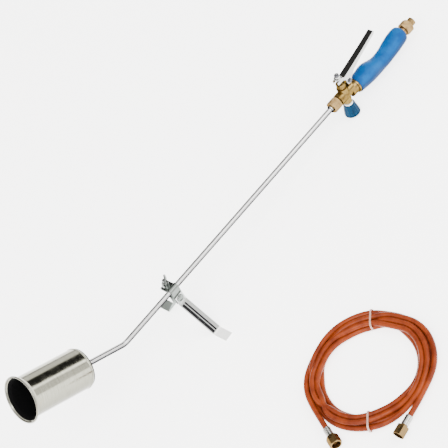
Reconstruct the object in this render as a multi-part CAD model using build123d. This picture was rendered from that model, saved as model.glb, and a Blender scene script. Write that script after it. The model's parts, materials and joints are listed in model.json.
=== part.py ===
from build123d import *
from math import asin, atan2, cos, degrees, hypot, pi, radians, sin, sqrt
import os

# Propane torch with an economiser lever, a tube stand and a separate coiled hose.
# The torch is drawn in its own frame, in millimetres: the straight neck tube lies on X, the bend to
# the bell is at 0, the handle is towards +X and the lever is on the +Z side. put_torch() then tips
# it onto its two feet and its knob, with the floor at Z = 0 of the finished part.

# ---------------------------------------------------------------- driving dimensions
TUBE_R = 4.0
TUBE_BORE_R = 3.0
BEND_ANGLE = 26.0
BEND_RADIUS = 24.0

BELL_BACK = 80.0
BELL_LENGTH = 110.0
BELL_R = 30.0
BELL_WALL = 1.0
LIP_R = 34.0
HUB_R = 7.0

VALVE_X = 512.0
BARREL_R = 9.5
STEM_R = 1.8
SPINDLE_R = 2.5
KNOB_DROP = 45.0
KNOB_TOP = 20.5
KNOB_R_TOP = 9.0
KNOB_R_END = 12.5
KNOB_DOME_R = 22.0

PIVOT_X = VALVE_X + 14.5
PIVOT_Z = 17.0
LEVER_HALF = 5.5
SHEET = 1.2
PIN_R = 2.0

HANDLE_DROP = 6.0
GRIP_X = VALVE_X + 25.0
GRIP_LENGTH = 114.0
HANDLE_TUBE_R = 5.0
INLET_THREAD_R = 6.6
INLET_END = VALVE_X + 167.0

STAND_X = 107.0
RIVET_DROP = 16.0
RIVET_R = 3.0
BOLT_SIDE = 12.0
BOLT_R = 2.5
FOOT_DROP = 80.0
LEG_WIDTH = 15.0
LEG_SHEET = 1.5
LEG_TAB = 10.0
LEG_SPLAY = 38.0
FOOT_LENGTH = 23.0

HOSE_R = 4.0
COIL_X = -96.0
COIL_Y = -307.0
COIL_MEAN_R = 82.0
COIL_WIDTH = 29.0
COIL_HEIGHT = 16.0
TIE_SHEET = 0.5
TIE_WIDTH = 2.6
TIE_ANGLES = (35.0, 217.0)
# Where each end of the hose leaves the coil along a tangent, and how far its end is from there.
LEAD_ANGLES = {"a": 155.0, "b": 276.0}
LEAD_LENGTH = 56.0
LEAD_HEIGHT = 9.6

RUNNING = 0.05      # radial clearance of a turning or sliding fit
GAP = 0.3           # least space between pieces that move past each other

# The stance: the feet are deeper than the knob, so the tube slopes down to the handle.
PITCH = degrees(asin((FOOT_DROP - KNOB_DROP) / (VALVE_X - STAND_X)))
KNOB_BALL_Z = KNOB_DOME_R - KNOB_DROP
BEND_HEIGHT = (
    VALVE_X * sin(radians(PITCH)) - KNOB_BALL_Z * cos(radians(PITCH)) + KNOB_DOME_R
)
ROW_X = -247.93


# ---------------------------------------------------------------- placing and small shapes
def put_torch(shape):
    """Move a shape from the torch's own frame to the finished part's."""
    return Location((ROW_X, 0, BEND_HEIGHT)) * Rotation(0, PITCH, 0) * shape


def put_bell(shape):
    """Turn a shape drawn along +Z from the bend onto the short leg of the tube, then place it."""
    return put_torch(Rotation(0, BEND_ANGLE - 90, 0) * shape)


def along_x(shape, x=0.0, z=0.0):
    """Turn a shape drawn along +Z so that it runs along +X from (x, 0, z)."""
    return Location((x, 0, z)) * Rotation(0, 90, 0) * shape


def along_y(shape, x=0.0, y=0.0, z=0.0):
    """Turn a shape drawn along +Z so that it runs along +Y from (x, y, z)."""
    return Location((x, y, z)) * Rotation(-90, 0, 0) * shape


def rod(radius, start, end):
    """A round bar on Z between two heights."""
    return Pos(0, 0, (start + end) / 2) * Cylinder(radius, abs(end - start))


def ring(outer, inner, start, end):
    return rod(outer, start, end) - rod(inner, start - 1, end + 1)


def hexagon(across_flats, start, end):
    """A hexagonal bar on Z with its corners chamfered at both ends."""
    low, high = min(start, end), max(start, end)
    corner = across_flats / sqrt(3)
    bar = Pos(0, 0, low) * extrude(RegularPolygon(corner, 6), high - low)
    rounding = Pos(0, 0, (low + high) / 2) * chamfer(
        Cylinder(corner, high - low).edges().filter_by(GeomType.CIRCLE), (corner - across_flats / 2) * 0.7
    )
    return bar & rounding


def plate(points, half_width):
    """Extrude an outline of (x, z) points evenly to both sides of the XZ plane."""
    face = make_face(Plane.XZ * Polyline(*points, close=True))
    return extrude(face, half_width, both=True)


def save(name, shape):
    export_step(shape, f"parts/{name}.step")


def group(shapes):
    return Compound(children=list(shapes))


# ---------------------------------------------------------------- burner
def burner_bell():
    """Flared bell: a closed back with air holes, a plain wall and a rolled lip."""
    back, mouth = BELL_BACK, BELL_BACK + BELL_LENGTH
    shoulder = 5.0
    flare = 7.0
    inner = BELL_R - BELL_WALL
    outline = [
        (HUB_R, back),
        (BELL_R - shoulder, back),
        (BELL_R - 1.5, back + 1.5),
        (BELL_R, back + shoulder),
        (BELL_R, mouth - flare),
        (BELL_R + 1.4, mouth - 3.0),
        (LIP_R, mouth - 0.6),
        (LIP_R - 0.6, mouth + 0.4),
        (BELL_R + 0.6, mouth - 2.2),
        (inner, mouth - flare),
        (inner, back + shoulder),
        (inner - 3.2, back + BELL_WALL),
        (HUB_R, back + BELL_WALL),
    ]
    shell = revolve(make_face(Plane.XZ * Polyline(*outline, close=True)), Axis.Z, 360)
    rolled = Pos(0, 0, mouth - 0.6) * Torus(LIP_R - 0.4, 1.3)
    bead = Pos(0, 0, back + shoulder + 1.5) * Torus(BELL_R - 0.1, 0.7)
    shell += rolled + bead
    for place in PolarLocations(19, 8):
        shell -= place * rod(4.5, back - 2, back + 4)
    return put_bell(shell)


def burner_hub():
    """Threaded boss on the tube's end that carries the bell and the jet."""
    back = BELL_BACK
    hub = rod(10, back - 4, back) + rod(HUB_R, back, back + 24)
    hub -= rod(TUBE_R, back - 5, back + 10)
    hub -= rod(2.5, back + 9, back + 17)
    hub -= rod(3.0, back + 16, back + 25)
    return put_bell(hub)


def flame_holder():
    """Slotted cup round the jet that keeps the flame lit in wind."""
    base = BELL_BACK + BELL_WALL
    cup = rod(16, base, base + 34) - rod(15, base + 1, base + 35)
    cup -= rod(HUB_R, base - 1, base + 2)
    for place in PolarLocations(15.5, 8):
        cup -= place * Pos(0, 0, base + 21) * Box(5, 4, 18)
    return put_bell(cup)


def bell_nut():
    base = BELL_BACK + BELL_WALL + 1.0
    return put_bell(hexagon(22, base, base + 7) - rod(HUB_R, base - 1, base + 8))


def gas_jet():
    base = BELL_BACK + 17
    jet = rod(3.0, base, BELL_BACK + 24) + hexagon(8, BELL_BACK + 24, BELL_BACK + 30)
    jet -= rod(1.6, base - 1, BELL_BACK + 28)
    jet -= rod(0.4, BELL_BACK + 27, BELL_BACK + 31)
    return put_bell(jet)


# ---------------------------------------------------------------- neck tube
def neck_tube():
    """One length of tube: straight from the valve, round the bend and into the hub."""
    rise = radians(BEND_ANGLE)
    reach = BELL_BACK + 10
    tip = (-reach * cos(rise), 0, reach * sin(rise))
    path = FilletPolyline((VALVE_X - 20, 0, 0), (0, 0, 0), tip, radius=BEND_RADIUS)
    start = Plane(origin=path @ 0, z_dir=path % 0)
    section = start * (Circle(TUBE_R) - Circle(TUBE_BORE_R))
    return put_torch(sweep(section, path))


def tube_ferrule():
    return put_torch(along_x(ring(5.6, TUBE_R, -35, -32), VALVE_X))


def tube_nut():
    nut = hexagon(17, -32, -17) - rod(5.6, -27, -16) - rod(TUBE_R, -33, -26)
    return put_torch(along_x(nut, VALVE_X))


# ---------------------------------------------------------------- valve
def valve_body():
    """Forged cross: neck and handle on X, the lever's valve above and the needle valve below."""
    pivot = PIVOT_X - VALVE_X
    lug = LEVER_HALF - SHEET - 0.4
    body = along_x(rod(BARREL_R, -15, 16) + rod(7.0, -17, -15) + rod(5.6, -27, -17))
    body += along_x(rod(10.4, 10, 22), z=-HANDLE_DROP + 1)
    body += rod(8.6, 0, 14) + rod(7.5, -12, 0)
    body += Pos(pivot - 0.5, 0, PIVOT_Z / 2) * Box(6.2, 2 * lug, PIVOT_Z)
    body += along_y(rod(3.6, -lug, lug), pivot, 0, PIVOT_Z)
    body -= along_x(rod(TUBE_R, -28, -20) + rod(2.0, -21, 10))
    body -= along_x(rod(HANDLE_TUBE_R, 12, 23), z=-HANDLE_DROP)
    body -= Pos(11, 0, -3) * Box(3, 4, 8)
    body -= rod(4.6, 0.6, 9) + rod(6.0, 8, 15)
    body -= rod(1.5, -4, 1) + rod(SPINDLE_R + 0.5, -9, -4) + rod(4.5, -13, -8.5)
    body -= along_y(rod(PIN_R, -9, 9), pivot, 0, PIVOT_Z)
    return put_torch(Pos(VALVE_X, 0, 0) * body)


def valve_seat():
    """Rubber ring that the stem's disc closes on."""
    return put_torch(Pos(VALVE_X, 0, 0) * ring(4.6, 1.6, 0.6, 1.6))


def valve_bonnet():
    bonnet = rod(6.0, 8, 14) + rod(7.0, 14, 23)
    for place in PolarLocations(7.3, 24):
        bonnet -= place * rod(0.5, 15, 21)
    bonnet = bonnet - rod(STEM_R + RUNNING, 7, 24) - rod(3.6, 7, 11)
    return put_torch(Pos(VALVE_X, 0, 0) * bonnet)


def valve_stem():
    """Sliding stem with the disc that closes on the seat."""
    stem = rod(STEM_R, 1.9, 42.6) + rod(3.9, 1.9, 3.4)
    return put_torch(Pos(VALVE_X, 0, 0) * stem)


def valve_spring():
    """Closing spring between the stem's disc and the bonnet."""
    wire, mean, low, high = 0.35, 2.75, 3.8, 10.6
    coil = Pos(0, 0, low) * Helix(pitch=(high - low) / 5, height=high - low, radius=mean)
    section = Plane(origin=coil @ 0, z_dir=coil % 0) * Circle(wire)
    spring = sweep(section, coil, is_frenet=True)
    return put_torch(Pos(VALVE_X, 0, 0) * spring)


def pilot_nut():
    """Adjusting nut under which the lever's fork lifts the stem."""
    nut = rod(6.0, 33.7, 34.9) + hexagon(8, 34.9, 38.6) - rod(STEM_R + RUNNING, 33, 39)
    return put_torch(Pos(VALVE_X, 0, 0) * nut)


def pilot_locknut():
    return put_torch(Pos(VALVE_X, 0, 0) * (hexagon(7, 38.9, 41.4) - rod(STEM_R, 38, 42)))


# ---------------------------------------------------------------- lever
LEVER_TOP = [(7.5, 30.0), (57, 41.4), (88.5, 50.0)]
LEVER_EDGE = [
    (90.5, 47.6), (88, 44.6), (52, 34.2), (30, 26.5), (20.2, 18.5), (18.4, 13), (14.5, 11.5), (10.6, 13),
    (9, 17), (8.6, 23.4), (4, 27.2), (-7, 27.5), (-7, 32), (4.2, 33.3),
]


def lever():
    """Pressed channel: two hooked cheeks under the stem's nut, a pivot and a long tapering handle."""
    tip_half = LEVER_HALF - 0.7
    inner = LEVER_HALF - SHEET
    inner_side = [(x, z - SHEET) for x, z in LEVER_TOP] + [(88.5, 5), (7.5, 5)]
    plan = [(-10, -LEVER_HALF), (24, -LEVER_HALF), (91, -tip_half)]
    inner_plan = [(-11, -inner), (24, -inner), (88.8, SHEET - tip_half)]
    shell = plate(LEVER_TOP + LEVER_EDGE, 12) & column(plan)
    shell -= plate(inner_side, 12) & column(inner_plan)
    shell -= Pos(-1, 0, 30) * Box(17.5, 2 * inner, 60)
    shell -= along_y(rod(PIN_R + RUNNING, -12, 12), PIVOT_X - VALVE_X, 0, PIVOT_Z)
    return put_torch(Pos(VALVE_X, 0, 0) * shell)


def column(points):
    """Extrude one side of a plan outline, and its mirror, through the lever's whole height."""
    outline = points + [(x, -y) for x, y in reversed(points)]
    return extrude(make_face(Polyline(*outline, close=True)), 80)


def lever_pin():
    return put_torch(along_y(rod(PIN_R, -7.6, 7.6), PIVOT_X, 0, PIVOT_Z))


def lever_clips():
    """Two open spring clips that hold the pin's ends."""
    clip = ring(3.8, PIN_R, 5.9, 6.8) - Pos(0, -3, 6.4) * Box(2.2, 4, 3)
    pair = [along_y(clip, PIVOT_X, 0, PIVOT_Z), mirror(along_y(clip, PIVOT_X, 0, PIVOT_Z), Plane.XZ)]
    return group(put_torch(one) for one in pair)


# ---------------------------------------------------------------- needle valve and knob
def gland_packing():
    return put_torch(Pos(VALVE_X, 0, 0) * ring(4.5, SPINDLE_R + RUNNING, -12, -8.5))


def gland_nut():
    nut = hexagon(12, -12, -17) - rod(SPINDLE_R + RUNNING, -18, -11)
    return put_torch(Pos(VALVE_X, 0, 0) * nut)


def needle_spindle():
    """Spindle with a conical tip that throttles the gas."""
    spindle = rod(SPINDLE_R, -38, -8) + Pos(0, 0, -6) * Cone(SPINDLE_R, 0.9, 4)
    return put_torch(Pos(VALVE_X, 0, 0) * spindle)


def knob_ring():
    return put_torch(Pos(VALVE_X, 0, 0) * ring(7.2, SPINDLE_R, -KNOB_TOP, -18.2))


def control_knob():
    """Tapered, fluted knob; its domed end is the torch's third foot."""
    rim = sqrt(KNOB_DOME_R**2 - (KNOB_R_END - 1) ** 2)
    edge = KNOB_BALL_Z - rim
    skirt = make_face(Plane.XZ * Polyline(
        (0, -KNOB_TOP), (KNOB_R_TOP - 0.8, -KNOB_TOP), (KNOB_R_TOP, -KNOB_TOP - 0.8),
        (KNOB_R_END, edge + 2.5), (KNOB_R_END, edge + 0.8), (KNOB_R_END - 1, edge), (0, edge), close=True
    ))
    knob = revolve(skirt, Axis.Z, 360)
    knob += Pos(0, 0, KNOB_BALL_Z) * Sphere(KNOB_DOME_R) & Pos(0, 0, edge - 5) * Box(40, 40, 10)
    slope = degrees(atan2(KNOB_R_END - KNOB_R_TOP, -KNOB_TOP - edge - 3))
    middle = ((KNOB_R_TOP + KNOB_R_END) / 2 + 1.1, 0, (edge - KNOB_TOP) / 2)
    groove = Pos(*middle) * Rotation(0, -slope, 0) * Cylinder(1.9, -KNOB_TOP - edge - 5)
    for turn in range(12):
        knob -= Rotation(0, 0, 30 * turn) * groove
    knob -= rod(SPINDLE_R, -38, -KNOB_TOP + 1)
    return put_torch(Pos(VALVE_X, 0, 0) * knob)


# ---------------------------------------------------------------- handle
# Stations along the grip: distance from its front, top edge, bottom edge.
GRIP_OUTLINE = [
    (0, 13.4, -13.8),
    (8, 14.2, -14.8),
    (20, 14.8, -16.6),
    (30, 14.6, -17.6),
    (38, 12.0, -18.4),
    (47, 8.6, -19.0),
    (58, 7.2, -19.4),
    (70, 8.4, -18.8),
    (80, 11.0, -17.6),
    (92, 13.8, -16.0),
    (103, 15.2, -14.2),
    (110, 14.6, -13.0),
    (114, 11.8, -10.4),
]


def grip():
    """Moulded sleeve with a shallow saddle for the fingers on the lever's side."""
    sections = []
    for along, top, bottom in GRIP_OUTLINE:
        spot = Plane(origin=(GRIP_X + along, 0, (top + bottom) / 2 - HANDLE_DROP), z_dir=(1, 0, 0))
        sections.append(spot * Circle((top - bottom) / 2))
    sleeve = loft(sections)
    return put_torch(sleeve - along_x(rod(HANDLE_TUBE_R, -1, GRIP_LENGTH + 1), GRIP_X, -HANDLE_DROP))


def handle_washer():
    return put_torch(along_x(ring(12.4, HANDLE_TUBE_R, 22, 25), VALVE_X, -HANDLE_DROP))


def handle_tube():
    """Steel tube that joins the valve to the inlet under the grip."""
    return put_torch(along_x(ring(HANDLE_TUBE_R, 3.5, 12.5, 150), VALVE_X, -HANDLE_DROP))


def inlet_fitting():
    """Neck, spanner hexagon and the thread that the hose's nut goes on."""
    end = INLET_END - VALVE_X
    base = GRIP_X + GRIP_LENGTH - VALVE_X
    body = rod(7.2, base, base + 6) + hexagon(19, base + 6, base + 19)
    body += rod(INLET_THREAD_R, base + 19, end)
    body -= rod(HANDLE_TUBE_R, base - 1, 150)
    body -= rod(3.0, 149, end + 1)
    body -= Pos(0, 0, end - 1.0) * Cone(3.0, 5.0, 2.02)
    return put_torch(along_x(body, VALVE_X, -HANDLE_DROP))


# ---------------------------------------------------------------- stand
def clamp_band():
    """Split ring on the tube: two flat lips for the wing bolt and two ears that hold the legs."""
    inner, outer = TUBE_R + RUNNING, TUBE_R + RUNNING + SHEET
    low = RIVET_DROP + 7
    lips = BOLT_SIDE + 6
    strap = along_x(rod(outer, -8, 8))
    strap += Pos(0, 0, -low / 2) * Box(16, 2 * outer, low)
    strap += Pos(0, lips / 2, 0) * Box(16, lips, 3.8)
    strap -= along_x(rod(inner, -9, 9))
    strap -= Pos(0, lips / 2, 0) * Box(17, lips + 1, 1.4)
    strap -= Pos(0, 0, -outer - low / 2) * Box(17, 2 * inner, low)
    strap -= along_y(rod(RIVET_R, -12, 12), 0, 0, -RIVET_DROP)
    strap -= Pos(0, BOLT_SIDE, 0) * rod(BOLT_R, -4, 4)
    return put_torch(Pos(STAND_X, 0, 0) * strap)


def leg_rivet():
    """Round-headed rivet through the ears and both legs."""
    side = TUBE_R + RUNNING + SHEET + LEG_SHEET + 2 * GAP
    head = scale(Sphere(5.6), (1, 1, 0.42)) & Pos(0, 0, 5) * Box(20, 20, 10)
    rivet = rod(RIVET_R, -side, side) + Pos(0, 0, side) * head + mirror(Pos(0, 0, side) * head, Plane.XY)
    return put_torch(along_y(rivet, STAND_X, 0, -RIVET_DROP))


def clamp_bolt():
    """Bolt through the ring's two lips, with its head below."""
    bolt = hexagon(8, -5.2, -1.9) + rod(BOLT_R, -2.5, 15)
    return put_torch(Pos(STAND_X, BOLT_SIDE, 0) * bolt)


def bolt_washer():
    return put_torch(Pos(STAND_X, BOLT_SIDE, 0) * ring(5.0, BOLT_R, 1.9, 2.9))


def wing_nut():
    """Wing nut: a short hub and two upswept wings."""
    hub = rod(5.0, 3.2, 9)
    wing = Polyline((3, 3.7), (9.4, 8.4), (10.2, 15.0), (7.6, 16.4), (4.2, 9.6), close=True)
    blade = extrude(make_face(Plane.XZ * wing), 1.2, both=True)
    nut = hub + blade + mirror(blade, Plane.YZ) - rod(BOLT_R + RUNNING, 3, 17)
    return put_torch(Pos(STAND_X, BOLT_SIDE, 0) * Rotation(0, 0, 35) * nut)


def rivet_place():
    """Centre of the legs' rivet in the finished part's frame."""
    tilt = radians(PITCH)
    x = STAND_X * cos(tilt) - RIVET_DROP * sin(tilt)
    z = -STAND_X * sin(tilt) - RIVET_DROP * cos(tilt)
    return ROW_X + x, BEND_HEIGHT + z


def stand_leg(side):
    """Pressed strip: an upright tab on the rivet, a splayed shin with a rib and a flat foot."""
    rivet_x, rivet_z = rivet_place()
    inside = TUBE_R + RUNNING + SHEET + GAP
    knee_z = rivet_z - LEG_TAB
    drop = knee_z - LEG_SHEET / 2
    ankle_y = inside + LEG_SHEET / 2 + drop * sin(radians(LEG_SPLAY)) / cos(radians(LEG_SPLAY))
    middle = [
        (inside + LEG_SHEET / 2, rivet_z + 7),
        (inside + LEG_SHEET / 2, knee_z),
        (ankle_y, LEG_SHEET / 2),
        (ankle_y + FOOT_LENGTH, LEG_SHEET / 2),
    ]
    line = FilletPolyline(*[(0, y, z) for y, z in middle], radius=3.0)
    strip = sweep(Plane(origin=line @ 0, z_dir=line % 0) * Rectangle(LEG_WIDTH, LEG_SHEET, rotation=90), line)
    shin = hypot(ankle_y - middle[0][0], drop)
    lean = Location((0, (ankle_y + middle[0][0]) / 2, knee_z / 2)) * Rotation(LEG_SPLAY, 0, 0)
    keep = lean * Pos(0, 5.2, 0) * Box(40, 10, shin)
    strip += lean * Pos(-1.5, 0, 0) * Cylinder(1.7, shin - 14) & keep
    strip += lean * Pos(4.6, 1.2, 0) * Rotation(0, 0, 22) * Box(5.6, 1.2, shin - 10)
    strip -= along_y(rod(RIVET_R + RUNNING, 0, 12), 0, 0, rivet_z)
    leg = Pos(rivet_x, 0, 0) * strip
    return leg if side > 0 else mirror(leg, Plane.XZ)


# ---------------------------------------------------------------- hose
def coil_section(grow):
    """Rounded section of the tied coil, grown outwards by a sheet thickness."""
    spot = Plane(origin=(COIL_MEAN_R, 0, COIL_HEIGHT / 2 + TIE_SHEET), x_dir=(1, 0, 0), z_dir=(0, -1, 0))
    return spot * RectangleRounded(COIL_WIDTH + 2 * grow, COIL_HEIGHT + 2 * grow, 6 + grow)


def put_coil(shape, turn=0.0):
    return Location((COIL_X, COIL_Y, 0)) * Rotation(0, 0, turn) * shape


def hose_coil():
    return put_coil(revolve(coil_section(0), Axis.Z, 360))


def hose_ties():
    """Two flat ties round the coil."""
    ties = []
    for angle in TIE_ANGLES:
        band = extrude(coil_section(TIE_SHEET) - coil_section(0), TIE_WIDTH / 2, both=True)
        ties.append(put_coil(band, angle))
    return group(ties)


def put_fitting(shape, end):
    """Lay a fitting, drawn along +Z from the hose's end, on the tangent along which that end leaves."""
    turn = 1 if end == "a" else -1
    outer_turn = COIL_MEAN_R + COIL_WIDTH / 2 - HOSE_R
    lie = Location((outer_turn, turn * LEAD_LENGTH, LEAD_HEIGHT)) * Rotation(-90 * turn, 0, 0)
    return put_coil(lie * shape, LEAD_ANGLES[end])


def hose_lead(end):
    """Free stretch of hose from the coil's outer turn to its fitting."""
    return put_fitting(rod(HOSE_R, 2 - LEAD_LENGTH, 0), end)


def hose_ferrule(end):
    """Crimped sleeve with three grooves."""
    sleeve = rod(5.2, -12, 2) - rod(HOSE_R, -13, 0) - rod(2.0, -1, 3)
    for height in (-10, -7, -4):
        sleeve -= ring(7, 4.8, height - 0.6, height + 0.6)
    return put_fitting(sleeve, end)


def hose_tail(end):
    """Barbed tail with a round shoulder that the nut pulls on."""
    tail = rod(4.2, 2, 8.6) + rod(6.2, 8.6, 11) + Pos(0, 0, 12.5) * Cone(6.2, 4.0, 3) - rod(2.0, 1, 15)
    return put_fitting(tail, end)


def hose_nut(end):
    """Swivel nut with an inside thread."""
    nut = hexagon(16, 4.5, 19) - rod(4.2 + RUNNING, 4, 9) - rod(INLET_THREAD_R + RUNNING, 8.2, 20)
    return put_fitting(nut, end)


os.makedirs("parts", exist_ok=True)
pieces = [
    burner_bell, burner_hub, flame_holder, bell_nut, gas_jet, neck_tube, tube_ferrule, tube_nut, valve_body,
    valve_seat, valve_bonnet, valve_stem, valve_spring, pilot_nut, pilot_locknut, lever, lever_pin,
    lever_clips, gland_packing, gland_nut, needle_spindle, knob_ring, control_knob, grip, handle_washer,
    handle_tube, inlet_fitting, clamp_band, leg_rivet, clamp_bolt, bolt_washer, wing_nut, hose_coil, hose_ties,
]
for piece in pieces:
    save(piece.__name__, piece())
save("stand_leg_near", stand_leg(-1))
save("stand_leg_far", stand_leg(1))
for end in LEAD_ANGLES:
    for piece in (hose_lead, hose_ferrule, hose_tail, hose_nut):
        save(f"{piece.__name__}_{end}", piece(end))
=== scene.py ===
import json
import math
import random
import bpy
import numpy as np
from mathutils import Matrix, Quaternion, Vector


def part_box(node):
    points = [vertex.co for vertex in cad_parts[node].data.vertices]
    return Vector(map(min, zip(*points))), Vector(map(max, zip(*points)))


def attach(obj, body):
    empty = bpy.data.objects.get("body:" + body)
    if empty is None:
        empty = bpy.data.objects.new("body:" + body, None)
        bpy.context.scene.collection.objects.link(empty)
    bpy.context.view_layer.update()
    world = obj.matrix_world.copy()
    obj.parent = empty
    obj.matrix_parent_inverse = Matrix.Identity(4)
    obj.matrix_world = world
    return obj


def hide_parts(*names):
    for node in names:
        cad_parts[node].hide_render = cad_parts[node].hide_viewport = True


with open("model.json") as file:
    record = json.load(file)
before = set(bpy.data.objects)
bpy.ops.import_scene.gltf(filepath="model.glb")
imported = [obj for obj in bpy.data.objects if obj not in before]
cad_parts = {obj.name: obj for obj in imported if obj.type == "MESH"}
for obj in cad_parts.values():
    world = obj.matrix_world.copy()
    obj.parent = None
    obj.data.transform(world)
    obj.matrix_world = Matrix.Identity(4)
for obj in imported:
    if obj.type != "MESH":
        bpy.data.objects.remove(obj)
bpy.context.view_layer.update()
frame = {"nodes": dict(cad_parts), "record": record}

RECORD = frame["record"]
JOINTS = {joint["name"]: joint for joint in RECORD["behaviour"]["joints"]}
MOUNTS = {mount["name"]: mount for mount in RECORD["mounts"]}


# ---------------------------------------------------------------- camera, floor and light
VIEW_AZIMUTH = math.radians(-23.1)
VIEW_ELEVATION = math.radians(46.7)
VIEW_ROLL = math.radians(-34.9)
VIEW_DISTANCE = 3.0
VIEW_TARGET = Vector((-0.0018, 0.0395, 0.0337))
LENS = 163.9
SENSOR_WIDTH = 36.0
FLOOR_HALF = 12.0
FLOOR_DROP = 0.0002

# Dark flags and bright panels of the studio: the direction of each, the angles from its middle where it is
# full and where it ends, and its level beside the plain world's.
STUDIO_PANELS = [
    ((0.90, 0.06, 0.42), 14.0, 24.0, 0.02),
    ((0.14, 0.66, 0.74), 17.0, 26.0, 0.03),
    ((0.20, 0.86, 0.46), 12.0, 20.0, 0.05),
    ((0.25, 0.96, 0.10), 18.0, 32.0, 0.05),
    ((0.90, -0.34, 0.26), 4.0, 12.0, 4.0),
    ((0.82, -0.50, 0.24), 1.5, 5.0, 0.25),
    ((0.36, -0.64, 0.68), 8.0, 20.0, 2.2),
]
WORLD_STRENGTH = 2.6
WORLD_COLOUR = (1.0, 0.985, 0.96, 1.0)
FLOOR_GLOW = 3.2
FLOOR_WHITE = (0.93, 0.93, 0.93)
FLOOR_PALE = (0.96, 0.96, 0.96)


def make_camera():
    """Long lens, above and to one side of the torch, rolled so that the neck runs corner to corner."""
    camera = bpy.data.objects.new("camera", bpy.data.cameras.new("camera"))
    bpy.context.collection.objects.link(camera)
    level = math.cos(VIEW_ELEVATION)
    sideways = Vector((math.sin(VIEW_AZIMUTH), -math.cos(VIEW_AZIMUTH), 0)) * level
    back = sideways + Vector((0, 0, math.sin(VIEW_ELEVATION)))
    camera.location = VIEW_TARGET + back * VIEW_DISTANCE
    camera.rotation_mode = "QUATERNION"
    camera.rotation_quaternion = (-back).to_track_quat("-Z", "Y") @ Quaternion((0, 0, 1), VIEW_ROLL)
    camera.data.lens = LENS
    camera.data.sensor_width = SENSOR_WIDTH
    camera.data.clip_end = 60.0
    bpy.context.scene.camera = camera


def make_area(name, place, size, power):
    """A round soft light that shines on the middle of the scene."""
    light = bpy.data.objects.new(name, bpy.data.lights.new(name, "AREA"))
    light.data.shape = "DISK"
    light.data.size = size
    light.data.energy = power
    light.location = place
    light.rotation_euler = (-Vector(place)).to_track_quat("-Z", "Y").to_euler()
    bpy.context.collection.objects.link(light)


def make_floor():
    """A plain white floor that glows a little, like a light table, so that shadows stay faint."""
    mesh = bpy.data.meshes.new("floor")
    corners = [(x * FLOOR_HALF, y * FLOOR_HALF, 0) for x, y in ((-1, -1), (1, -1), (1, 1), (-1, 1))]
    mesh.from_pydata(corners, [], [(0, 1, 2, 3)])
    floor = bpy.data.objects.new("floor", mesh)
    floor.location.z = -FLOOR_DROP
    bpy.context.collection.objects.link(floor)
    look = Look("floor")
    look.set(roughness=0.9, specular=0.1)
    look.link(look.mix(look.noise(3.0, 2), FLOOR_WHITE, FLOOR_PALE), "Base Color")
    look.link((1.0, 1.0, 1.0), "Emission Color")
    look.link(FLOOR_GLOW, "Emission Strength")
    floor.data.materials.append(look.material)


def make_world():
    """A bright white studio with soft dark flags and bright panels, which polished metal shows as bands."""
    world = bpy.data.worlds.new("studio")
    world.use_nodes = True
    bpy.context.scene.world = world
    tree = world.node_tree
    direction = tree.nodes.new("ShaderNodeTexCoord").outputs["Generated"]
    shade = None
    for aim, near, far, level in STUDIO_PANELS:
        dot = tree.nodes.new("ShaderNodeVectorMath")
        dot.operation = "DOT_PRODUCT"
        tree.links.new(direction, dot.inputs[0])
        dot.inputs[1].default_value = Vector(aim).normalized()
        soft = tree.nodes.new("ShaderNodeMapRange")
        soft.interpolation_type = "SMOOTHSTEP"
        tree.links.new(dot.outputs["Value"], soft.inputs["Value"])
        soft.inputs["From Min"].default_value = math.cos(math.radians(far))
        soft.inputs["From Max"].default_value = math.cos(math.radians(near))
        soft.inputs["To Min"].default_value = 1.0
        soft.inputs["To Max"].default_value = level
        if shade is None:
            shade = soft.outputs["Result"]
        else:
            both = tree.nodes.new("ShaderNodeMath")
            both.operation = "MULTIPLY"
            tree.links.new(shade, both.inputs[0])
            tree.links.new(soft.outputs["Result"], both.inputs[1])
            shade = both.outputs[0]
    strength = tree.nodes.new("ShaderNodeMath")
    strength.operation = "MULTIPLY"
    tree.links.new(shade, strength.inputs[0])
    strength.inputs[1].default_value = WORLD_STRENGTH
    background = tree.nodes["Background"]
    background.inputs["Color"].default_value = WORLD_COLOUR
    tree.links.new(strength.outputs[0], background.inputs["Strength"])


# ---------------------------------------------------------------- colours and where looks change
GRIP_BLUE = (0.0002, 0.072, 0.235)
GRIP_BLUE_DEEP = (0.0001, 0.040, 0.160)
GRIP_BLUE_PALE = (0.001, 0.125, 0.310)
# Painted shade on the underside of the grip.
GRIP_BLUE_PAINTED_SHADE = (0.0001, 0.022, 0.085)
KNOB_BLUE = (0.0001, 0.028, 0.070)
# Deeper blue of the knob's cloudy tone, also used for its painted shade underneath.
KNOB_BLUE_DEEP_AND_SHADE = (0.0001, 0.013, 0.036)
KNOB_BLUE_PALE = (0.001, 0.048, 0.105)
HOSE_ORANGE = (0.190, 0.029, 0.0050)
HOSE_ORANGE_DEEP = (0.100, 0.013, 0.0025)
HOSE_ORANGE_PALE = (0.260, 0.055, 0.016)
BRASS = (0.17, 0.112, 0.034)
BRASS_PALE = (0.215, 0.140, 0.058)
NECK_STEEL = (0.50, 0.50, 0.50)
# Painted shade along the underside of the neck tube.
NECK_PAINTED_SHADE = (0.045, 0.045, 0.047)
LEVER_CHROME = (0.42, 0.42, 0.41)
CLAMP_PLATE = (0.17, 0.185, 0.175)
BOLT_PLATE = (0.32, 0.335, 0.325)
# Painted light: a paler, greener copy of the leg plating for the far leg, for how light falls on it.
FAR_LEG_LIT_PLATE = (0.34, 0.38, 0.355)
DARK_STEEL = (0.10, 0.10, 0.11)
PLAIN_STEEL = (0.34, 0.345, 0.35)
FERRULE_STEEL = (0.46, 0.45, 0.43)
LEG_PLATE = (0.40, 0.41, 0.40)
LEG_PLATE_WORN = (0.31, 0.33, 0.32)
BELL_STEEL = (0.29, 0.287, 0.235)
BELL_STEEL_DULL = (0.20, 0.197, 0.155)
BELL_RIM = (0.10, 0.10, 0.09)
BELL_HEAT_TINT = (0.24, 0.19, 0.12)
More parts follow.
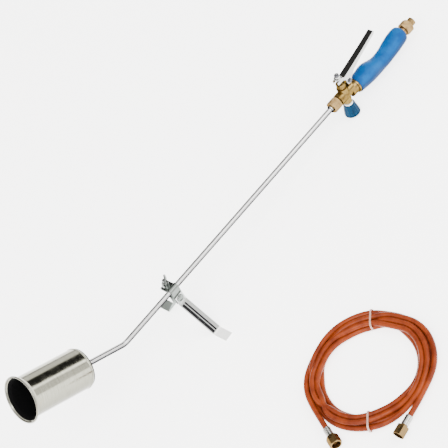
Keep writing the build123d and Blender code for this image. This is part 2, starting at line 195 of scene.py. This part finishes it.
# Painted shade for the underside of the bell.
BELL_PAINTED_SHADE = (0.090, 0.088, 0.066)
SOOT = (0.0015, 0.0015, 0.0016)
SCALE_BLACK = (0.006, 0.0055, 0.005)
SCALE_GREY = (0.04, 0.037, 0.033)
RING_WHITE = (0.90, 0.90, 0.89)
RING_GREY = (0.70, 0.70, 0.68)
RUBBER_BLACK = (0.012, 0.012, 0.012)
RUBBER_GREY = (0.05, 0.05, 0.05)
TIE_PINK = (0.50, 0.27, 0.21)
TIE_PALE = (0.68, 0.46, 0.40)
# Black of the near leg's painted reflection.
REFLECTION_BLACK = (0.006, 0.006, 0.007)
# Matt white and grey of the near foot's painted reflection.
FOOT_REFLECTION_WHITE = (0.90, 0.90, 0.88)
FOOT_REFLECTION_GREY = (0.74, 0.75, 0.73)
COAT_ROUGHNESS = 0.1

# Shares of red, green and blue that brass keeps where it is tarnished and where it is handled.
TARNISH = (0.52, 0.45, 0.36)
HANDLED = (1.22, 1.25, 1.45)

# Height of the thread's ridges beside the brass's own marks.
THREAD_DEPTH = 9.0

# Metres. Each pair is where a change starts and where it ends.
THREAD_PITCH = 0.00134
THREAD_LIMIT = (0.0067, 0.0069)
BELL_LIP = (-0.0070, -0.0020)
SOOT_RADII = (0.0296, 0.0312)
STRIPE_LEFT = (-0.0066, -0.0062)
STRIPE_RIGHT = (0.0019, 0.0022)
STRIPE_TOP = (-0.0125, -0.0115)
STRIPE_FOOT = (-0.0605, -0.0595)
RIB_X = -0.0015
RIB_HALF = (0.0004, 0.0008)
FOOT_EDGE = (-0.0608, -0.0602)


# ---------------------------------------------------------------- node materials
class Look:
    """A node material in the making: each call adds one node and returns its output."""

    def __init__(self, name, origin=None, axis=None):
        self.material = bpy.data.materials.new(name)
        self.material.use_nodes = True
        self.tree = self.material.node_tree
        self.shader = self.tree.nodes["Principled BSDF"]
        self.place = self.add("ShaderNodeTexCoord").outputs["Object"]
        if origin is not None:
            turn = self.add("ShaderNodeMapping", vector_type="TEXTURE")
            self.tree.links.new(self.place, turn.inputs["Vector"])
            turn.inputs["Location"].default_value = origin
            if axis is not None:
                turn.inputs["Rotation"].default_value = Vector(axis).to_track_quat("Z", "Y").to_euler()
            self.place = turn.outputs["Vector"]

    def add(self, kind, **settings):
        """Make a node of this kind with these settings."""
        node = self.tree.nodes.new(kind)
        for name, value in settings.items():
            setattr(node, name, value)
        return node

    def feed(self, node, name, value):
        """Link an output into a socket, or set the socket's own value."""
        if isinstance(value, bpy.types.NodeSocket):
            self.tree.links.new(value, node.inputs[name])
        elif isinstance(value, tuple) and len(value) == 3 and node.inputs[name].type == "RGBA":
            node.inputs[name].default_value = (*value, 1.0)
        else:
            node.inputs[name].default_value = value

    def link(self, value, name):
        """Feed one of the shader's own sockets."""
        self.feed(self.shader, name, value)

    def set(self, metallic=0.0, roughness=0.5, specular=0.5, coat=0.0, edge=1.0):
        """The shader's plain settings; edge is how bright metal is when seen at a grazing angle."""
        self.link(metallic, "Metallic")
        self.link(roughness, "Roughness")
        self.link(specular, "Specular IOR Level")
        self.link(coat, "Coat Weight")
        self.link(COAT_ROUGHNESS, "Coat Roughness")
        self.link((edge, edge, edge), "Specular Tint")

    def stretch(self, scale):
        """This look's coordinates, scaled along each axis."""
        node = self.add("ShaderNodeVectorMath", operation="MULTIPLY")
        self.feed(node, 0, self.place)
        node.inputs[1].default_value = scale
        return node.outputs["Vector"]

    def noise(self, scale, detail=4.0, rough=0.55, stretch=None, twist=0.0):
        """Cloudy values around one half, in this look's own coordinates."""
        node = self.add("ShaderNodeTexNoise")
        self.feed(node, "Vector", self.stretch(stretch) if stretch else self.place)
        self.feed(node, "Scale", scale)
        self.feed(node, "Detail", detail)
        self.feed(node, "Roughness", rough)
        self.feed(node, "Distortion", twist)
        return node.outputs["Fac"]

    def math(self, operation, first, second=0.0):
        """One sum of two numbers or outputs."""
        node = self.add("ShaderNodeMath", operation=operation)
        self.feed(node, 0, first)
        self.feed(node, 1, second)
        return node.outputs["Value"]

    def band(self, value, low, high, start=0.0, end=1.0):
        """Goes smoothly from start to end as the value goes from low to high."""
        node = self.add("ShaderNodeMapRange", interpolation_type="SMOOTHSTEP")
        sockets = ("Value", "From Min", "From Max", "To Min", "To Max")
        for name, number in zip(sockets, (value, low, high, start, end)):
            self.feed(node, name, number)
        return node.outputs["Result"]

    def mix(self, factor, first, second):
        """The first colour where the factor is 0, the second where it is 1."""
        node = self.add("ShaderNodeMix", data_type="RGBA")
        self.feed(node, 0, factor)
        colours = [socket for socket in node.inputs if socket.type == "RGBA"]
        for socket, value in zip(colours, (first, second)):
            if isinstance(value, bpy.types.NodeSocket):
                self.tree.links.new(value, socket)
            else:
                socket.default_value = (*value, 1.0)
        return [socket for socket in node.outputs if socket.type == "RGBA"][0]

    def split(self):
        """The x, y and z of this look's own coordinates, and the distance from its Z axis."""
        parts = self.add("ShaderNodeSeparateXYZ")
        self.feed(parts, "Vector", self.place)
        x, y, z = parts.outputs
        squares = self.math("ADD", self.math("MULTIPLY", x, x), self.math("MULTIPLY", y, y))
        radius = self.math("SQRT", squares)
        return x, y, z, radius

    def bump(self, height, distance, strength):
        """Relief of this height, in metres, on the shader's normal."""
        node = self.add("ShaderNodeBump")
        self.feed(node, "Height", height)
        self.feed(node, "Distance", distance)
        self.feed(node, "Strength", strength)
        self.link(node.outputs["Normal"], "Normal")

    def underside(self, low, high):
        """1 where the surface faces down or sideways, falling to 0 as it turns up: the mask for painted
        shade.
        """
        parts = self.add("ShaderNodeSeparateXYZ")
        self.feed(parts, "Vector", self.add("ShaderNodeNewGeometry").outputs["Normal"])
        wander = self.math("MULTIPLY", self.noise(120.0, 4), 0.10)
        return self.band(self.math("ADD", parts.outputs["Z"], wander), low, high, 1.0, 0.0)

    def edges(self, width):
        """1 along sharp edges, where handling wears a surface, and 0 on its flats."""
        rounded = self.add("ShaderNodeBevel", samples=4)
        self.feed(rounded, "Radius", width)
        agree = self.add("ShaderNodeVectorMath", operation="DOT_PRODUCT")
        self.feed(agree, 0, rounded.outputs["Normal"])
        self.feed(agree, 1, self.add("ShaderNodeNewGeometry").outputs["Normal"])
        return self.band(agree.outputs["Value"], 0.82, 0.985, 1.0, 0.0)

    def dress(self, *names):
        """Put this look on CAD nodes in place of the material they came with."""
        for name in names:
            mesh = frame["nodes"][name].data
            for index in range(len(mesh.materials)):
                mesh.materials[index] = self.material


def smudges(look, polish, worn):
    """Roughness that wanders between polished and handled metal."""
    wide = look.noise(38.0, 5, 0.6)
    fine = look.noise(420.0, 3, 0.6)
    mixed = look.math("ADD", look.math("MULTIPLY", wide, 0.7), look.math("MULTIPLY", fine, 0.3))
    look.link(look.band(mixed, 0.35, 0.70, polish, worn), "Roughness")
    return mixed


def bright_metal(name, colour, polish, worn, *nodes, grain=(40.0, 40.0, 900.0), edge=0.35):
    """Plated or drawn steel: faint drawing lines and wiped-on smudges."""
    look = Look(name)
    look.set(metallic=1.0, edge=edge)
    dirt = smudges(look, polish, worn)
    dark = tuple(0.80 * part for part in colour)
    look.link(look.mix(look.band(dirt, 0.45, 0.75), colour, dark), "Base Color")
    look.bump(look.noise(1.0, 3, stretch=grain), 0.00002, 0.5)
    look.dress(*nodes)
    return look


def neck_look():
    """Drawn tube: polished above, with painted shade darkening its underside."""
    look = bright_metal("neck_steel", NECK_STEEL, 0.10, 0.24, "neck_tube", "tube_ferrule",
                        grain=(900.0, 40.0, 40.0), edge=0.05)
    # Painted shade: darker where the tube faces down.
    under = look.underside(0.24, 0.52)
    polished = look.shader.inputs["Base Color"].links[0].from_socket
    look.link(look.mix(under, polished, NECK_PAINTED_SHADE), "Base Color")


def brass(name, colour, *nodes, thread=None):
    """Machined brass: turning marks, brown tarnish in patches, paler handled spots and perhaps a thread."""
    look = Look(name, thread["pos_m"], thread["axis"]) if thread else Look(name)
    look.set(metallic=1.0, edge=0.4)
    tarnish = look.noise(95.0, 6, 0.65)
    patches = look.noise(22.0, 3, 0.5)
    brown = tuple(part * share for part, share in zip(colour, TARNISH))
    pale = tuple(min(1.0, part * share) for part, share in zip(colour, HANDLED))
    base = look.mix(look.band(tarnish, 0.42, 0.72), colour, brown)
    base = look.mix(look.band(patches, 0.52, 0.72, 0.0, 0.6), base, pale)
    look.link(look.mix(look.math("MULTIPLY", look.edges(0.0007), 0.7), base, pale), "Base Color")
    look.link(look.band(tarnish, 0.3, 0.8, 0.20, 0.48), "Roughness")
    marks = look.math("ADD", look.noise(700.0, 3), look.math("MULTIPLY", tarnish, 1.5))
    if thread:
        _, _, z, radius = look.split()
        ridges = look.math("SINE", look.math("MULTIPLY", z, math.tau / THREAD_PITCH))
        threaded = look.band(radius, *THREAD_LIMIT, THREAD_DEPTH, 0.0)
        marks = look.math("ADD", marks, look.math("MULTIPLY", ridges, threaded))
    look.bump(marks, 0.00004, 0.45)
    look.dress(*nodes)


def bell_look():
    """Spun stainless: fine hoops, a brown heat tint near the mouth, painted shade on its underside, and
    soot inside.
    """
    mouth = MOUNTS["bell_mouth"]
    look = Look("bell_steel", mouth["pos_m"], mouth["axis"])
    look.set(metallic=1.0)
    _, _, z, radius = look.split()
    wander = look.math("MULTIPLY", look.noise(60.0, 4), 0.0006)
    depth = look.math("ADD", radius, wander)
    soot_edge = look.band(z, *BELL_LIP, *SOOT_RADII)
    soot = look.band(look.math("SUBTRACT", depth, soot_edge), 0.0, 0.0004, 1.0, 0.0)
    hoops = look.noise(1.0, 3, 0.6, stretch=(30.0, 30.0, 2200.0))
    clean = look.mix(look.band(hoops, 0.35, 0.7), BELL_STEEL, BELL_STEEL_DULL)
    rim = look.math("MULTIPLY", look.band(z, -0.0060, -0.0035), 0.45)
    clean = look.mix(rim, clean, BELL_RIM)
    tint = look.math("MULTIPLY", look.band(z, -0.030, -0.002), look.band(look.noise(48.0, 4), 0.48, 0.72))
    clean = look.mix(look.math("MULTIPLY", tint, 0.45), clean, BELL_HEAT_TINT)
    # Painted shade: darker where the bell faces down.
    shade = look.math("MULTIPLY", look.underside(-0.75, 0.45), 0.85)
    clean = look.mix(shade, clean, BELL_PAINTED_SHADE)
    look.link(look.mix(soot, clean, SOOT), "Base Color")
    polish = look.band(look.noise(75.0, 5), 0.35, 0.75, 0.10, 0.22)
    look.link(look.math("MAXIMUM", polish, look.math("MULTIPLY", soot, 0.85)), "Roughness")
    look.link(look.math("SUBTRACT", 1.0, soot), "Metallic")
    look.link(0.06, "Specular IOR Level")
    look.bump(look.math("ADD", hoops, look.noise(140.0, 2)), 0.00003, 0.35)
    look.dress("burner_bell")


def sooty_look():
    """Steel that has been in the flame: black scale with paler clouds."""
    look = Look("sooted_steel")
    look.set(metallic=0.4, roughness=0.8, specular=0.1)
    look.link(look.mix(look.noise(160.0, 5), SCALE_BLACK, SCALE_GREY), "Base Color")
    look.bump(look.noise(600.0, 4), 0.0001, 0.6)
    look.dress("flame_holder", "bell_nut", "gas_jet")


def grip_look():
    """Blue moulded plastic: fine spark grain, pale lengthwise scuffs and painted shade on its underside."""
    look = Look("grip_plastic")
    look.set(specular=0.06)
    grain = look.noise(1500.0, 2, 0.5)
    cloud = look.noise(30.0, 4, 0.55)
    scuffs = look.noise(1.0, 5, 0.7, stretch=(60.0, 240.0, 240.0), twist=0.4)
    base = look.mix(look.band(cloud, 0.35, 0.68), GRIP_BLUE, GRIP_BLUE_DEEP)
    base = look.mix(look.band(scuffs, 0.60, 0.80, 0.0, 0.35), base, GRIP_BLUE_PALE)
    # Painted shade: darker where the grip faces down.
    base = look.mix(look.underside(-0.10, 0.65), base, GRIP_BLUE_PAINTED_SHADE)
    look.link(base, "Base Color")
    look.link(look.band(cloud, 0.3, 0.7, 0.34, 0.48), "Roughness")
    look.bump(look.math("ADD", grain, look.math("MULTIPLY", cloud, 0.6)), 0.00007, 0.55)
    look.dress("grip")


def knob_look():
    """Darker blue plastic, rubbed pale along its edges, with painted shade on its underside."""
    look = Look("knob_plastic")
    look.set(specular=0.06)
    cloud = look.noise(70.0, 4)
    wear = look.noise(260.0, 4, 0.65)
    base = look.mix(look.band(cloud, 0.35, 0.7), KNOB_BLUE, KNOB_BLUE_DEEP_AND_SHADE)
    base = look.mix(look.band(wear, 0.62, 0.82, 0.0, 0.4), base, KNOB_BLUE_PALE)
    # Painted shade: darker where the knob faces down.
    base = look.mix(look.underside(-0.30, 0.30), base, KNOB_BLUE_DEEP_AND_SHADE)
    base = look.mix(look.math("MULTIPLY", look.edges(0.0006), 0.6), base, KNOB_BLUE_PALE)
    look.link(base, "Base Color")
    look.link(look.band(wear, 0.3, 0.75, 0.26, 0.44), "Roughness")
    look.bump(look.noise(1300.0, 2), 0.00005, 0.5)
    look.dress("control_knob")


def ring_look():
    """White plastic, slightly greyed by handling."""
    look = Look("ring_plastic")
    look.set(specular=0.5)
    look.link(look.mix(look.noise(300.0, 4), RING_WHITE, RING_GREY), "Base Color")
    look.link(look.band(look.noise(120.0, 3), 0.3, 0.7, 0.25, 0.45), "Roughness")
    look.bump(look.noise(900.0, 2), 0.00004, 0.4)
    look.dress("knob_ring", "gland_packing")


def rubber_look():
    """Black seat rubber."""
    look = Look("seat_rubber")
    look.set(roughness=0.6, specular=0.4)
    look.link(look.mix(look.noise(500.0, 4), RUBBER_BLACK, RUBBER_GREY), "Base Color")
    look.bump(look.noise(1200.0, 3), 0.00005, 0.5)
    look.dress("valve_seat")


def hose_look():
    """Orange-red hose cover: a soft shine, a chalky bloom and fine pale specks."""
    look = Look("hose_cover")
    look.set(specular=0.12)
    bloom = look.noise(55.0, 5, 0.6)
    speck = look.noise(900.0, 3, 0.6)
    base = look.mix(look.band(bloom, 0.35, 0.70), HOSE_ORANGE, HOSE_ORANGE_DEEP)
    base = look.mix(look.band(speck, 0.60, 0.85, 0.0, 0.30), base, HOSE_ORANGE_PALE)
    look.link(base, "Base Color")
    look.link(look.band(bloom, 0.3, 0.7, 0.30, 0.46), "Roughness")
    look.bump(look.math("ADD", speck, look.noise(240.0, 3)), 0.00006, 0.5)
    return look


def tie_look():
    """Thin clear film, pink from the hose under it."""
    look = Look("tie_film")
    look.set(roughness=0.25, specular=0.5, coat=0.3)
    look.link(look.mix(look.noise(220.0, 4), TIE_PINK, TIE_PALE), "Base Color")
    look.link(0.35, "Transmission Weight")
    look.bump(look.noise(500.0, 3), 0.0001, 0.5)
    look.dress("hose_ties")


def leg_look():
    """Plated pressing: black stripes of painted reflection, broken in places, on both sides of its rib, and
    a foot painted matt white as a painted reflection.
    """
    look = Look("leg_plate", JOINTS["stand_fold"]["pos_m"])
    look.set(metallic=1.0, edge=0.35)
    dirt = smudges(look, 0.12, 0.30)
    x, _, z, _ = look.split()
    clean = look.mix(look.band(dirt, 0.45, 0.75), LEG_PLATE, LEG_PLATE_WORN)
    stripe = look.math("MULTIPLY", look.band(x, *STRIPE_LEFT), look.band(x, *STRIPE_RIGHT, 1.0, 0.0))
    crest = look.band(look.math("ABSOLUTE", look.math("ADD", x, -RIB_X)), *RIB_HALF)
    slope = look.math("MULTIPLY", look.band(z, *STRIPE_TOP, 1.0, 0.0), look.band(z, *STRIPE_FOOT))
    # Noise and sharp edges that break up the painted reflection.
    wear = look.math("ADD", look.noise(420.0, 4), look.math("MULTIPLY", look.edges(0.0006), 0.12))
    stripe_kept = look.band(wear, 0.66, 0.73, 1.0, 0.0)
    across = look.math("MULTIPLY", stripe, crest)
    # Painted reflection: black stripes beside the rib stand in for the dark reflection that the chrome
    # shows.
    painted = look.math("MULTIPLY", across, look.math("MULTIPLY", slope, stripe_kept))
    # Painted reflection: the foot is made matt white to stand in for the bright reflection that it shows.
    foot = look.band(z, *FOOT_EDGE, 1.0, 0.0)
    clean = look.mix(foot, clean, look.mix(look.band(dirt, 0.4, 0.7), FOOT_REFLECTION_WHITE, FOOT_REFLECTION_GREY))
    look.link(look.mix(painted, clean, REFLECTION_BLACK), "Base Color")
    bare = look.math("MAXIMUM", painted, look.math("MULTIPLY", foot, 0.9))
    look.link(look.math("SUBTRACT", 1.0, bare), "Metallic")
    look.link(0.15, "Specular IOR Level")
    look.bump(look.noise(1.0, 3, stretch=(900.0, 60.0, 60.0)), 0.00002, 0.5)
    look.dress("stand_leg_near")


# ---------------------------------------------------------------- hose
HOSE_DIAMETER = 0.008
COIL_LOW, COIL_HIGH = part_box("hose_coil")
COIL_CENTRE = (COIL_LOW + COIL_HIGH) / 2
COIL_RADIUS = 0.082
COIL_OUTER = round((COIL_HIGH.x - COIL_LOW.x) / 2 - HOSE_DIAMETER / 2, 4)
LEAD_ANGLES = {"a": math.radians(155.0), "b": math.radians(276.0)}
LEAD_LENGTH = 0.056
LEAD_HEIGHT = 0.0096
COIL_TURNS = 5 + 239 / 360
STATIONS = 24
TIE_ANGLES = (math.radians(35.0), math.radians(217.0))

# How the turns of the coil settle, in metres and radians.
TURN_SHIFT = (-0.010, 0.006)
TURN_LEAN = (0.001, 0.0035)
END_SHARE = 0.35
COIL_LOOSENESS = 0.0015
TIE_REACH = 0.5
LEAD_ROOM = 0.0060
LEAD_REACH = 1.2
SPACING = HOSE_DIAMETER * 1.02
PULL_HOME = 0.02
PULL_DOWN = 0.04
SMOOTH_RADIUS = 0.45
SMOOTH_HEIGHT = 0.25
SETTLE_STEPS = 500
SMOOTH_STEPS = 470

# Points of each lead, and the mouth of its ferrule, measured back from the hose's end.
LEAD_STEPS = (0.002, 0.020, 0.038)


def nearness(angle, places, reach):
    """1 at each place around the coil, falling to 0 at reach radians from it."""
    near = np.zeros(len(angle))
    for place in places:
        apart = np.abs((angle - place + math.pi) % math.tau - math.pi)
        near = np.maximum(near, 0.5 + 0.5 * np.cos(np.clip(apart / reach, 0, 1) * math.pi))
    return near


def settle_turns():
    """Angle, radius and height of each point of the coil: uneven turns, pushed apart where they meet."""
    draw = random.Random(11)
    count = int(COIL_TURNS * STATIONS) + 1
    turns = int(COIL_TURNS) + 1
    wish = [draw.uniform(*TURN_SHIFT) for _ in range(turns + 1)]
    lean = [(draw.uniform(*TURN_LEAN), draw.uniform(0, math.tau)) for _ in range(turns + 1)]
    turn = np.arange(count) / STATIONS
    whole = turn.astype(int)
    share = turn - whole
    share = share * share * (3 - 2 * share)
    wish = np.array(wish)
    around = turn * math.tau
    sway = np.array([lean[k][0] * math.cos(a + lean[k][1]) for k, a in zip(whole, around)])
    home = COIL_RADIUS + wish[whole] * (1 - share) + wish[whole + 1] * share + sway
    inland = np.clip(np.minimum(turn, turn[-1] - turn) / END_SHARE, 0, 1)
    home = COIL_OUTER + (home - COIL_OUTER) * inland * inland * (3 - 2 * inland)
    radius = home.copy()
    low = COIL_LOW.z + HOSE_DIAMETER / 2
    height = low + HOSE_DIAMETER * 0.35 * whole
    angle = LEAD_ANGLES["a"] - around
    inner = COIL_OUTER - COIL_RADIUS
    outer = inner + COIL_LOOSENESS * (1 - nearness(angle, TIE_ANGLES, TIE_REACH))
    outer -= LEAD_ROOM * nearness(angle, LEAD_ANGLES.values(), LEAD_REACH) * inland
    for step in range(SETTLE_STEPS):
        radius += PULL_HOME * (home - radius)
        height += PULL_DOWN * (low - height)
        for first in range(count):
            for second in range(first + STATIONS, count, STATIONS):
                dr = radius[second] - radius[first]
                dz = height[second] - height[first]
                gap = math.hypot(dr, dz)
                if gap < SPACING:
                    push = 0.5 * (SPACING - gap) / max(gap, 1e-6)
                    radius[first] -= dr * push
                    height[first] -= dz * push
                    radius[second] += dr * push
                    height[second] += dz * push
        if step < SMOOTH_STEPS:
            radius[1:-1] += SMOOTH_RADIUS * (radius[:-2] + radius[2:] - 2 * radius[1:-1])
            height[1:-1] += SMOOTH_HEIGHT * (height[:-2] + height[2:] - 2 * height[1:-1])
        radius = np.clip(radius, COIL_RADIUS - inner, COIL_RADIUS + outer)
        height = np.maximum(height, low)
        for end in (0, -1):
            radius[end] = COIL_OUTER
            height[end] = LEAD_HEIGHT
    return angle, radius, height


def coil_point(angle, radius, height):
    """A point of the coil from its angle, radius and height."""
    x = COIL_CENTRE.x + radius * math.cos(angle)
    y = COIL_CENTRE.y + radius * math.sin(angle)
    return Vector((x, y, height))


def fitting_point(end, along):
    """A point on the tangent along which an end leaves, measured from the hose's end towards its nut."""
    angle = LEAD_ANGLES[end]
    turn = 1 if end == "a" else -1
    base = coil_point(angle, COIL_OUTER, LEAD_HEIGHT)
    return base + turn * (LEAD_LENGTH + along) * Vector((-math.sin(angle), math.cos(angle), 0))


def make_hose():
    """One smooth hose: its lead at end a, the turns of the coil, and its lead at end b."""
    angle, radius, height = settle_turns()
    coil = [coil_point(*spot) for spot in zip(angle, radius, height)]
    points = [fitting_point("a", -back) for back in LEAD_STEPS]
    points += coil
    points += [fitting_point("b", -back) for back in reversed(LEAD_STEPS)]
    curve = bpy.data.curves.new("hose", "CURVE")
    curve.dimensions = "3D"
    curve.bevel_depth = HOSE_DIAMETER / 2
    curve.bevel_resolution = 6
    curve.resolution_u = 6
    curve.use_fill_caps = True
    spline = curve.splines.new("NURBS")
    spline.points.add(len(points) - 1)
    for spot, point in zip(points, spline.points):
        point.co = (*spot, 1.0)
    spline.order_u = 3
    spline.use_endpoint_u = True
    hose = bpy.data.objects.new("hose", curve)
    bpy.context.collection.objects.link(hose)
    curve.materials.append(hose_look().material)
    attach(hose, "hose")
    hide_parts("hose_coil", "hose_lead_a", "hose_lead_b")


# ---------------------------------------------------------------- build
make_camera()
make_world()
make_floor()
make_area("key", place=(-1.6, -1.2, 2.6), size=1.6, power=95.0)
make_area("fill", place=(1.8, -1.5, 2.2), size=1.8, power=40.0)
make_hose()
tie_look()
bell_look()
sooty_look()
grip_look()
knob_look()
ring_look()
rubber_look()
leg_look()
neck_look()
bright_metal("lever_chrome", LEVER_CHROME, 0.05, 0.16, "lever", "pilot_nut")
bright_metal("stand_plate", CLAMP_PLATE, 0.08, 0.24, "clamp_band", "leg_rivet")
bright_metal("bolt_plate", BOLT_PLATE, 0.20, 0.34, "clamp_bolt", "bolt_washer", "wing_nut")
# Painted light: the far leg's plating is a paler, greener, rougher copy that stands in for how light falls
# on it.
bright_metal("far_leg_lit_plate", FAR_LEG_LIT_PLATE, 0.40, 0.62, "stand_leg_far")
bright_metal("dark_steel", DARK_STEEL, 0.25, 0.45, "lever_pin", "lever_clips", "pilot_locknut")
bright_metal("plain_steel", PLAIN_STEEL, 0.22, 0.40, "valve_stem", "valve_spring", "needle_spindle",
             "handle_tube")
bright_metal("ferrule_steel", FERRULE_STEEL, 0.14, 0.30, "hose_ferrule_a", "hose_ferrule_b")
brass("body_brass", BRASS, "valve_body", "burner_hub", "gland_nut", "valve_bonnet", "handle_washer")
brass("inlet_brass", BRASS_PALE, "inlet_fitting", thread=MOUNTS["inlet_thread"])
brass("nut_brass", BRASS_PALE, "tube_nut", "hose_nut_a", "hose_nut_b", "hose_tail_a", "hose_tail_b")
